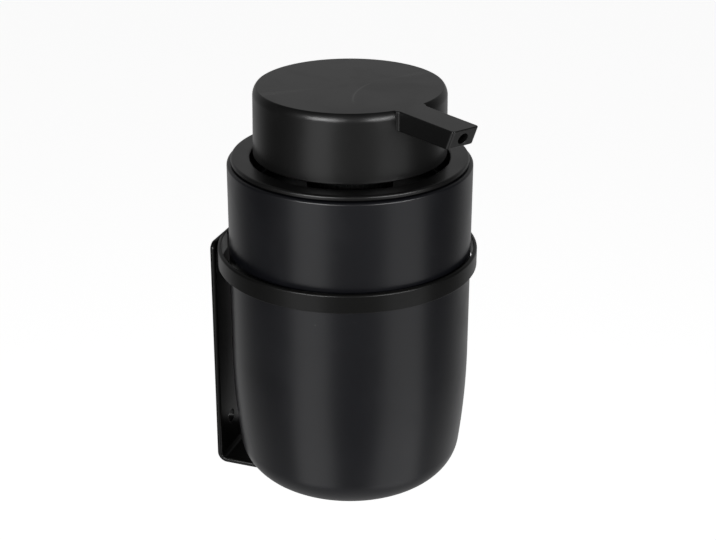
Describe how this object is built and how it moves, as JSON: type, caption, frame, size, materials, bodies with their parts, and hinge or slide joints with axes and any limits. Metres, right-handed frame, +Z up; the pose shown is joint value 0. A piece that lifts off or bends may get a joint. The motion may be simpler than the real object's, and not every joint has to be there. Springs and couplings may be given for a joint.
{
  "type": "wall-mounted soap dispenser",
  "caption": "Soap dispenser: a round container held in a wall ring and shelf, with a lid and a sprung push-down pump cap that has a straight swivelling spout.",
  "frame": {"origin": "middle of the wall plate's back face, which lies on the wall", "axes": "+Z up along the container's axis, +Y into the wall, +X to the right when seen from the back of the room facing the wall"},
  "size_m": [0.0914, 0.1001, 0.1476],
  "materials": {
    "plate_black": "black powder coat",
    "ring_black": "black powder coat",
    "container_black": "satin black",
    "lid_black": "satin black",
    "seal_rubber": "soft matt",
    "collar_black": "matt black",
    "gasket_rubber": "soft matt",
    "housing_plastic": "natural moulded",
    "guide_plastic": "natural moulded",
    "wiper_rubber": "soft matt",
    "cage_plastic": "natural moulded",
    "dip_plastic": "milky tube",
    "spring_steel": "drawn wire",
    "inlet_ball_steel": "polished",
    "stem_plastic": "natural moulded",
    "piston_rubber": "soft matt",
    "tip_plastic": "natural moulded",
    "outlet_ball_steel": "polished",
    "cap_black": "satin black",
    "socket_plastic": "natural moulded"
  },
  "bodies": {
    "bracket": {"wall_plate": "plate_black", "support_ring": "ring_black"},
    "container": {"container": "container_black"},
    "lid": {"lid": "lid_black", "lid_seal": "seal_rubber", "pump_collar": "collar_black", "collar_gasket": "gasket_rubber", "pump_housing": "housing_plastic", "stem_guide": "guide_plastic", "guide_wiper": "wiper_rubber", "ball_cage": "cage_plastic", "dip_tube": "dip_plastic", "return_spring": "spring_steel"},
    "inlet_ball": {"inlet_ball": "inlet_ball_steel"},
    "plunger": {"plunger_stem": "stem_plastic", "piston_seal": "piston_rubber", "piston_tip": "tip_plastic"},
    "outlet_ball": {"outlet_ball": "outlet_ball_steel"},
    "head": {"push_cap": "cap_black", "stem_socket": "socket_plastic"}
  },
  "joints": [
    {"name": "container_lift", "type": "slide", "parent": "bracket", "child": "container", "axis": [0, 0, 1], "range_m": [0, 0.095]},
    {"name": "lid_lift", "type": "slide", "parent": "container", "child": "lid", "axis": [0, 0, 1], "range_m": [0, 0.125]},
    {"name": "head_press", "type": "slide", "parent": "lid", "child": "plunger", "axis": [0, 0, -1], "range_m": [0, 0.008], "stiffness_N_per_m": 350, "springref_m": -0.01, "deforming": ["return_spring"]},
    {"name": "head_turn", "type": "hinge", "parent": "plunger", "child": "head", "pos_m": [0, -0.0474, 0.09], "axis": [0, 0, 1], "range_deg": [-100, 165]},
    {"name": "inlet_valve", "type": "slide", "parent": "lid", "child": "inlet_ball", "axis": [0, 0, 1], "range_m": [0, 0.001]},
    {"name": "outlet_valve", "type": "slide", "parent": "plunger", "child": "outlet_ball", "axis": [0, 0, 1], "range_m": [0, 0.0015]}
  ]
}
